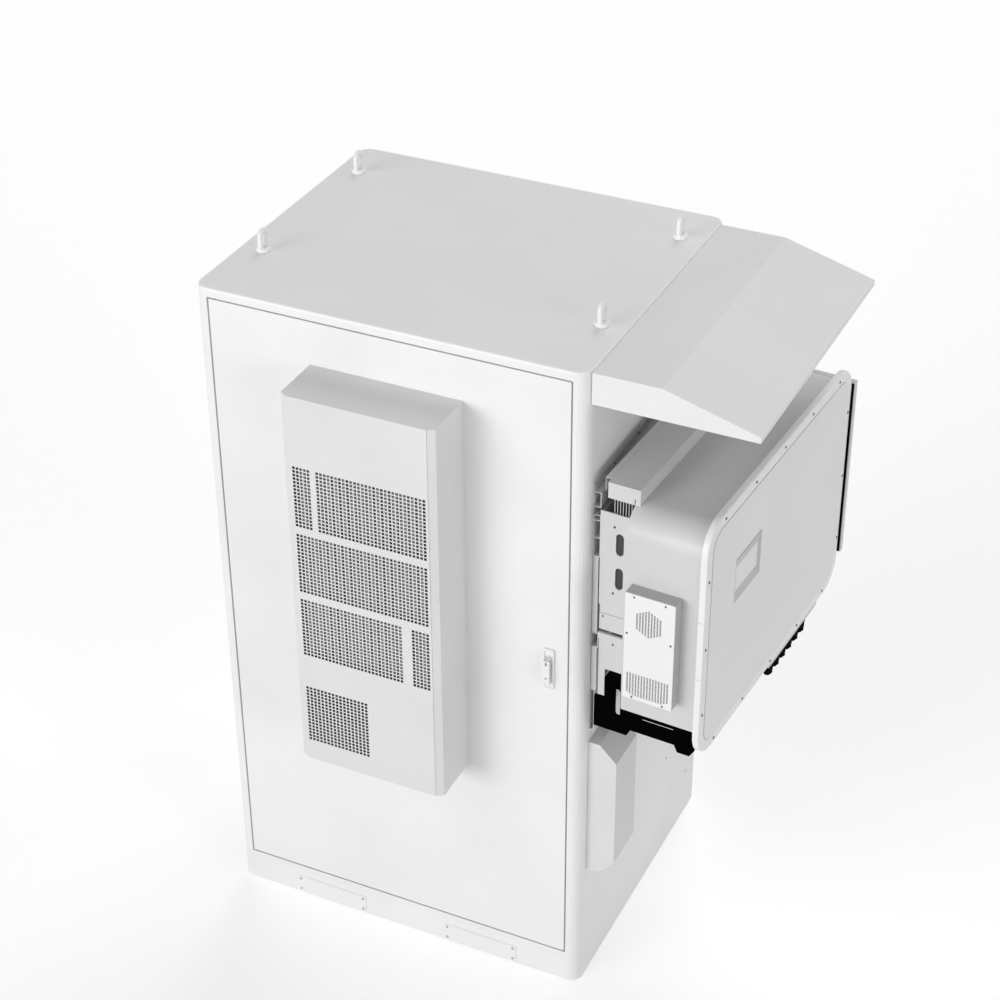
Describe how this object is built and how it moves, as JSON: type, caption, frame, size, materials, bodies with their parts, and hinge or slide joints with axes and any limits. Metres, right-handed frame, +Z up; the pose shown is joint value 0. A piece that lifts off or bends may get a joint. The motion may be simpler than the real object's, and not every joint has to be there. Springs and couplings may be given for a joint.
{
  "type": "outdoor battery cabinet",
  "caption": "Outdoor battery energy storage cabinet with a front door carrying an air conditioner, lifting eyes, fork pockets, and a string inverter under a side canopy.",
  "frame": {"origin": "centre of the plinth's underside, on the floor, in the middle of the cabinet's own footprint", "axes": "+Z up, door facing -Y, inverter on the +X side"},
  "size_m": [1.67, 1.1909, 2.2583],
  "materials": {
    "bare_aluminium": "mill finish",
    "bare_steel": "satin",
    "black_paint": "satin black powder coat",
    "black_plastic": "matt",
    "black_rubber": "matt",
    "grey_paint": "satin light grey powder coat",
    "white_paint": "satin white powder coat"
  },
  "bodies": {
    "cabinet": {"plinth": "white_paint", "fork_pocket_cover_left": "white_paint", "fork_pocket_cover_right": "white_paint", "enclosure_shell": "white_paint", "roof_lid": "white_paint", "lifting_eye_front_left": "white_paint", "lifting_eye_rear_left": "white_paint", "lifting_eye_front_right": "white_paint", "lifting_eye_rear_right": "white_paint", "door_seal": "black_rubber", "door_pivot_pin_lower": "bare_steel", "door_pivot_pin_upper": "bare_steel", "sun_canopy": "white_paint", "upper_wall_rail": "white_paint", "ladder_wall_rail": "white_paint", "middle_wall_rail": "white_paint", "lower_wall_rail": "white_paint", "cable_duct": "white_paint", "hanger_plate_front": "white_paint", "hanger_plate_rear": "white_paint", "bracket_arm_front": "black_paint", "bracket_arm_rear": "black_paint", "inverter_housing": "white_paint", "gland_plate": "black_plastic", "heat_sink": "bare_aluminium", "heat_sink_shroud": "white_paint", "inverter_cover": "white_paint", "side_fan_box": "white_paint", "side_fan_guard": "white_paint", "air_outlet_hood": "grey_paint", "battery_rack": "grey_paint", "battery_pack_1": "grey_paint", "battery_pack_2": "grey_paint", "battery_pack_3": "grey_paint", "battery_pack_4": "grey_paint", "battery_pack_5": "grey_paint", "switch_box": "grey_paint"},
    "door": {"door_panel": "white_paint", "door_liner": "white_paint", "door_bush_lower": "black_plastic", "door_bush_upper": "black_plastic", "handle_dish": "white_paint", "lock_guide_bracket": "grey_paint", "ac_cover": "white_paint", "ac_grille_panel": "white_paint", "ac_base_plate": "bare_steel", "ac_inner_housing": "white_paint", "condenser_coil": "bare_aluminium", "compressor": "black_paint", "condenser_fan_frame": "black_plastic", "condenser_fan_motor": "bare_steel", "blower_motor": "bare_steel"},
    "handle": {"handle_hub": "bare_steel"},
    "lever": {"handle_lever": "bare_steel"},
    "upper_rod": {"lock_rod_upper": "bare_steel"},
    "lower_rod": {"lock_rod_lower": "bare_steel"},
    "condenser_fan": {"condenser_fan_rotor": "black_plastic"},
    "blower": {"blower_rotor": "grey_paint"},
    "side_fan": {"side_fan_rotor": "black_plastic"},
    "breaker": {"main_breaker_toggle": "black_plastic"}
  },
  "joints": [
    {"name": "door_hinge", "type": "hinge", "parent": "cabinet", "child": "door", "pos_m": [-0.538, -0.4945, 1.1343], "axis": [0, 0, -1], "range_deg": [0, 110]},
    {"name": "handle_turn", "type": "hinge", "parent": "door", "child": "handle", "pos_m": [0.4953, -0.5196, 1.232], "axis": [0, 1, 0], "range_deg": [0, 90]},
    {"name": "lever_lift", "type": "hinge", "parent": "handle", "child": "lever", "pos_m": [0.4953, -0.5242, 1.232], "axis": [-1, 0, 0], "range_deg": [0, 40]},
    {"name": "upper_rod_slide", "type": "slide", "parent": "door", "child": "upper_rod", "axis": [0, 0, 1], "range_m": [0, 0.02]},
    {"name": "lower_rod_slide", "type": "slide", "parent": "door", "child": "lower_rod", "axis": [0, 0, -1], "range_m": [0, 0.02]},
    {"name": "condenser_fan_spin", "type": "hinge", "parent": "door", "child": "condenser_fan", "pos_m": [-0.104, -0.6592, 0.9297], "axis": [0, 1, 0], "continuous": true},
    {"name": "blower_spin", "type": "hinge", "parent": "door", "child": "blower", "pos_m": [0, -0.433, 1.76], "axis": [0, 1, 0], "continuous": true},
    {"name": "side_fan_spin", "type": "hinge", "parent": "cabinet", "child": "side_fan", "pos_m": [0.82174, -0.57271, 1.504], "axis": [0.0593, 0.9982, 0], "continuous": true},
    {"name": "breaker_flip", "type": "hinge", "parent": "cabinet", "child": "breaker", "pos_m": [0, -0.284, 1.9353], "axis": [1, 0, 0], "range_deg": [0, 70]}
  ],
  "couplings": [
    {"joint": "upper_rod_slide", "follows": "handle_turn", "m_per_rad": 0.0126},
    {"joint": "lower_rod_slide", "follows": "handle_turn", "m_per_rad": 0.0126}
  ]
}
